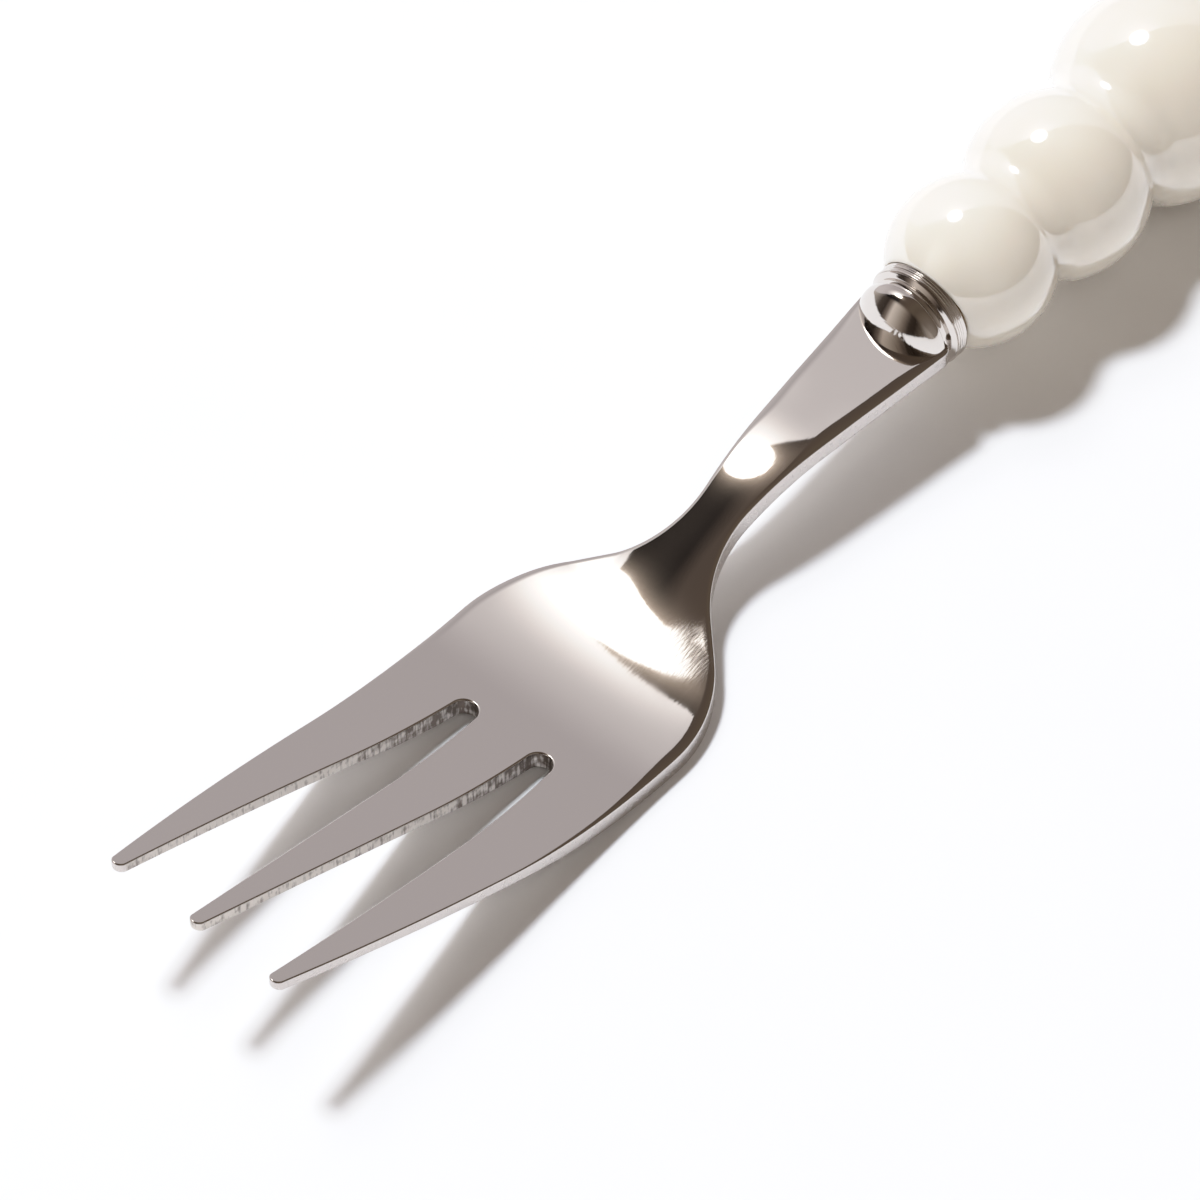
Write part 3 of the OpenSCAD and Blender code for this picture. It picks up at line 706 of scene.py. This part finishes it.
def paleFloor(s):
    mesh = bpy.data.meshes.new("floor")
    corners = np.array([[-1, -1, 0], [1, -1, 0], [1, 1, 0], [-1, 1, 0]]) * s["half"] * mm
    mesh.from_pydata(corners.tolist(), [], [(0, 1, 2, 3)])
    material, tree, shader, place = newMaterial("white_paper_sheet")
    fleck = addNode(tree, "ShaderNodeTexNoise",
                    {"Vector": place, "Scale": 1 / (s["fleckSize"] * mm), "Detail": 2.0}).outputs[0]
    tint = addNode(tree, "ShaderNodeValToRGB", {"Fac": fleck},
                   ((0.0, s["fleck"]), (1.0, s["white"]))).outputs[0]
    wire(tree, shader, {"Base Color": tint, "Roughness": s["roughness"], "Specular IOR Level": s["shine"]})
    mesh.materials.append(material)
    sheet = bpy.data.objects.new("floor", mesh)
    bpy.context.scene.collection.objects.link(sheet)


paleFloor(floor)
print("floor laid")


# studio light

# The room that the steel and the glaze mirror. turn is a direction's angle about the fork's cross
# axis, from the handle end upward, and lean is how far it points to the +Y side, from -1 to 1.
# A pale wall stands beyond the handle end and the +Y side, and brightens toward the lamp. Its edge
# is straight and slanted.
# The rest is a dim brown room, shaded across the fork: a stop's place is half of one plus lean,
# nearStops hold overhead and farStops beyond the tines. A round lamp with a warm halo hangs above.
studio = {
    "wall": (0.583, 0.545, 0.562), "edgeTurn": 34.0, "edgeSlant": 100.0, "edgeSoft": 0.4,
    "wallGlow": 1.0, "glowReach": 30.5, "glowSpan": 20.0, "glowPower": 1.6,
    "sideFrom": 0.7, "sideFull": 0.95, "sideGlow": 0.2,
    "lampTurn": 86.5, "lampSide": 28.5, "lampCore": 7.8, "lampRim": 9.2, "lampPower": 6.0,
    "haloAt": 10.6, "haloFall": 2.9, "haloMost": 0.6, "haloTint": (0.44, 0.37, 0.31),
    "nearStops": (
        (0.0, "#968C84"), (1.0, "#CAC3C3"), (0.1, "#7A6F66"), (0.2, "#706458"), (0.3, "#62564B"),
        (0.4, "#685C50"), (0.5, "#63564C"), (0.65, "#5D524B"), (0.70, "#211D1D"), (0.88, "#211D1D"),
        (0.94, "#8A8383")),
    "farStops": (
        (0.0, "#B7AEA6"), (1.0, "#CFC6C0"), (0.2, "#5F544A"), (0.3, "#312822"), (0.38, "#3D342D"),
        (0.45, "#746860"), (0.5, "#92867C"), (0.6, "#C3B9B0"), (0.7, "#E8DED6"), (0.76, "#867A72"),
        (0.82, "#3D3530"), (0.9, "#554C46")),
    "farFrom": 115.0, "farSpan": 28.0,
    "lampAim": (-30.0, 0.0, 0.0),
    "key": {"place": (-110.9, 498.0, 1435.0), "width": 260.0, "power": 21.5, "tint": (0.93, 1.0, 1.12)},
    "fill": {"place": (-480.0, -700.0, 1200.0), "width": 700.0, "power": 2.3, "tint": (1.0, 0.96, 0.94)},
}


def studioRoom(s):
    world = bpy.data.worlds.new("studio")
    bpy.context.scene.world = world
    world.use_nodes = True
    tree = world.node_tree
    tree.nodes.clear()
    way = addNode(tree, "ShaderNodeTexCoord").outputs["Generated"]
    along, lean, up = addNode(tree, "ShaderNodeSeparateXYZ", {0: way}).outputs
    turn = addNode(tree, "ShaderNodeMath", {0: up, 1: along}, operation="ARCTAN2").outputs[0]
    turn = addNode(tree, "ShaderNodeMath", {0: turn}, operation="DEGREES").outputs[0]

    # the room, overhead and beyond the tines
    across = addNode(tree, "ShaderNodeMath", {0: lean, 1: 0.5, 2: 0.5}, operation="MULTIPLY_ADD").outputs[0]
    near = addNode(tree, "ShaderNodeValToRGB", {"Fac": across}, s["nearStops"]).outputs[0]
    far = addNode(tree, "ShaderNodeValToRGB", {"Fac": across}, s["farStops"]).outputs[0]
    beyond = addNode(tree, "ShaderNodeMapRange",
                     {"Value": turn, "From Min": s["farFrom"], "From Max": s["farFrom"] + s["farSpan"]},
                     interpolation_type="SMOOTHSTEP").outputs[0]
    # inputs 6 and 7 of a colour mix are its two colours
    room = addNode(tree, "ShaderNodeMix", {0: beyond, 6: near, 7: far}, data_type="RGBA").outputs[2]

    # how far a direction lies off the lamp
    side, lampTurn = np.radians(s["lampSide"]), np.radians(s["lampTurn"])
    lampWay = (np.cos(side) * np.cos(lampTurn), np.sin(side), np.cos(side) * np.sin(lampTurn))
    facing = addNode(tree, "ShaderNodeVectorMath", {0: way, 1: lampWay},
                     operation="DOT_PRODUCT").outputs["Value"]
    off = addNode(tree, "ShaderNodeMath", {0: facing}, operation="ARCCOSINE").outputs[0]
    off = addNode(tree, "ShaderNodeMath", {0: off}, operation="DEGREES").outputs[0]

    # the wall, brighter toward the lamp and far over to the +Y side
    slant = addNode(tree, "ShaderNodeMath", {0: lean, 1: s["edgeSlant"], 2: s["edgeTurn"]},
                    operation="MULTIPLY_ADD").outputs[0]
    past = addNode(tree, "ShaderNodeMath", {0: slant, 1: turn}, operation="SUBTRACT").outputs[0]
    onWall = addNode(tree, "ShaderNodeMapRange",
                     {"Value": past, "From Min": -s["edgeSoft"], "From Max": s["edgeSoft"]},
                     interpolation_type="SMOOTHSTEP").outputs[0]
    rise = addNode(tree, "ShaderNodeMapRange",
                   {"Value": off, "From Min": s["glowReach"],
                    "From Max": s["glowReach"] - s["glowSpan"]}).outputs[0]
    rise = addNode(tree, "ShaderNodeMath", {0: rise, 1: s["glowPower"]}, operation="POWER").outputs[0]
    beside = addNode(tree, "ShaderNodeMapRange",
                     {"Value": lean, "From Min": s["sideFrom"], "From Max": s["sideFull"],
                      "To Max": s["sideGlow"]}).outputs[0]
    glow = addNode(tree, "ShaderNodeMath", {0: rise, 1: s["wallGlow"], 2: beside},
                   operation="MULTIPLY_ADD").outputs[0]
    wall = addNode(tree, "ShaderNodeVectorMath", {0: s["wall"], 1: glow}, operation="ADD").outputs[0]
    room = addNode(tree, "ShaderNodeMix", {0: onWall, 6: room, 7: wall}, data_type="RGBA").outputs[2]

    # the lamp, and a halo that fades as an exponential of the way off
    lamp = addNode(tree, "ShaderNodeMapRange",
                   {"Value": off, "From Min": s["lampRim"], "From Max": s["lampCore"],
                    "To Max": s["lampPower"]}, interpolation_type="SMOOTHSTEP").outputs[0]
    halo = addNode(tree, "ShaderNodeMath", {0: s["haloAt"], 1: off}, operation="SUBTRACT").outputs[0]
    halo = addNode(tree, "ShaderNodeMath", {0: halo, 1: s["haloFall"]}, operation="DIVIDE").outputs[0]
    halo = addNode(tree, "ShaderNodeMath", {0: halo, 1: s["haloMost"]}, operation="MINIMUM").outputs[0]
    halo = addNode(tree, "ShaderNodeMath", {0: halo}, operation="EXPONENT").outputs[0]
    lamp = addNode(tree, "ShaderNodeVectorMath", {0: halo, 1: s["haloTint"], 2: lamp},
                   operation="MULTIPLY_ADD").outputs[0]
    total = addNode(tree, "ShaderNodeVectorMath", {0: room, 1: lamp}, operation="ADD").outputs[0]
    sky = addNode(tree, "ShaderNodeBackground", {"Color": total})
    addNode(tree, "ShaderNodeOutputWorld", {"Surface": sky.outputs[0]})


# Soft lamps: the key throws the shadow and the fill lifts it. Both stay out of mirror
# reflections, where the room's own lamp shows.
def softLamp(name, s):
    data = bpy.data.lights.new(name, "AREA")
    data.shape, data.size, data.energy = "DISK", s[name]["width"] * mm, s[name]["power"]
    data.color = s[name]["tint"]
    lamp = bpy.data.objects.new(name, data)
    bpy.context.scene.collection.objects.link(lamp)
    place, aim = Vector(row(np.array(s[name]["place"]))), Vector(row(np.array(s["lampAim"])))
    lamp.location = place
    lamp.rotation_euler = (place - aim).to_track_quat("Z", "Y").to_euler()
    lamp.visible_glossy = False


studioRoom(studio)
softLamp("key", studio)
softLamp("fill", studio)
print("studio lit")


# film

# Linear up to the shoulder and then a slower climb to white, as a camera records it, so the
# lit side of the ivory keeps its edge against the white sheet. The first two points are the
# curve's ends.
film = {
    "curve": ((0.0, 0.0), (1.26, 1.0), (0.2, 0.2), (0.4, 0.4), (0.6, 0.6), (0.74, 0.74), (0.9, 0.862),
              (1.05, 0.925), (1.15, 0.955)),
}


def softShoulder(s):
    settings = bpy.context.scene.view_settings
    settings.view_transform = "Standard"
    settings.use_curve_mapping = True
    mapping = settings.curve_mapping
    mapping.use_clip = False
    mapping.extend = "EXTRAPOLATED"
    points = mapping.curves[3].points  # the curve that all three colours share
    points[0].location, points[1].location = s["curve"][:2]
    for place, level in s["curve"][2:]:
        points.new(place, level)
    for point in points:
        point.handle_type = "AUTO_CLAMPED"
    mapping.update()


softShoulder(film)
print("film set")


# camera

# Camera found from the photograph: its place, and the directions it calls right, down and ahead.
# The focal length is in pixels of a picture as wide as frame.
view = {
    "place": (-315.515, -265.562, 499.633), "right": (0.671313, -0.740874, -0.021071),
    "down": (-0.592456, -0.519314, -0.615880), "ahead": (0.445347, 0.425932, -0.787558),
    "focal": 8161.6, "frame": 1200, "sensor": 36.0, "nearest": 50.0, "furthest": 20000.0,
}


def photoCamera(s):
    data = bpy.data.cameras.new("camera")
    data.sensor_width = s["sensor"]
    data.lens = s["sensor"] * s["focal"] / s["frame"]
    data.clip_start, data.clip_end = s["nearest"] * mm, s["furthest"] * mm
    camera = bpy.data.objects.new("camera", data)
    bpy.context.scene.collection.objects.link(camera)
    turn = np.eye(4)
    turn[:3, :3] = np.stack([s["right"], -np.array(s["down"]), -np.array(s["ahead"])], axis=1)
    turn[:3, 3] = row(np.array(s["place"]))
    camera.matrix_world = Matrix(turn.tolist())
    bpy.context.scene.camera = camera


photoCamera(view)
print("camera placed")
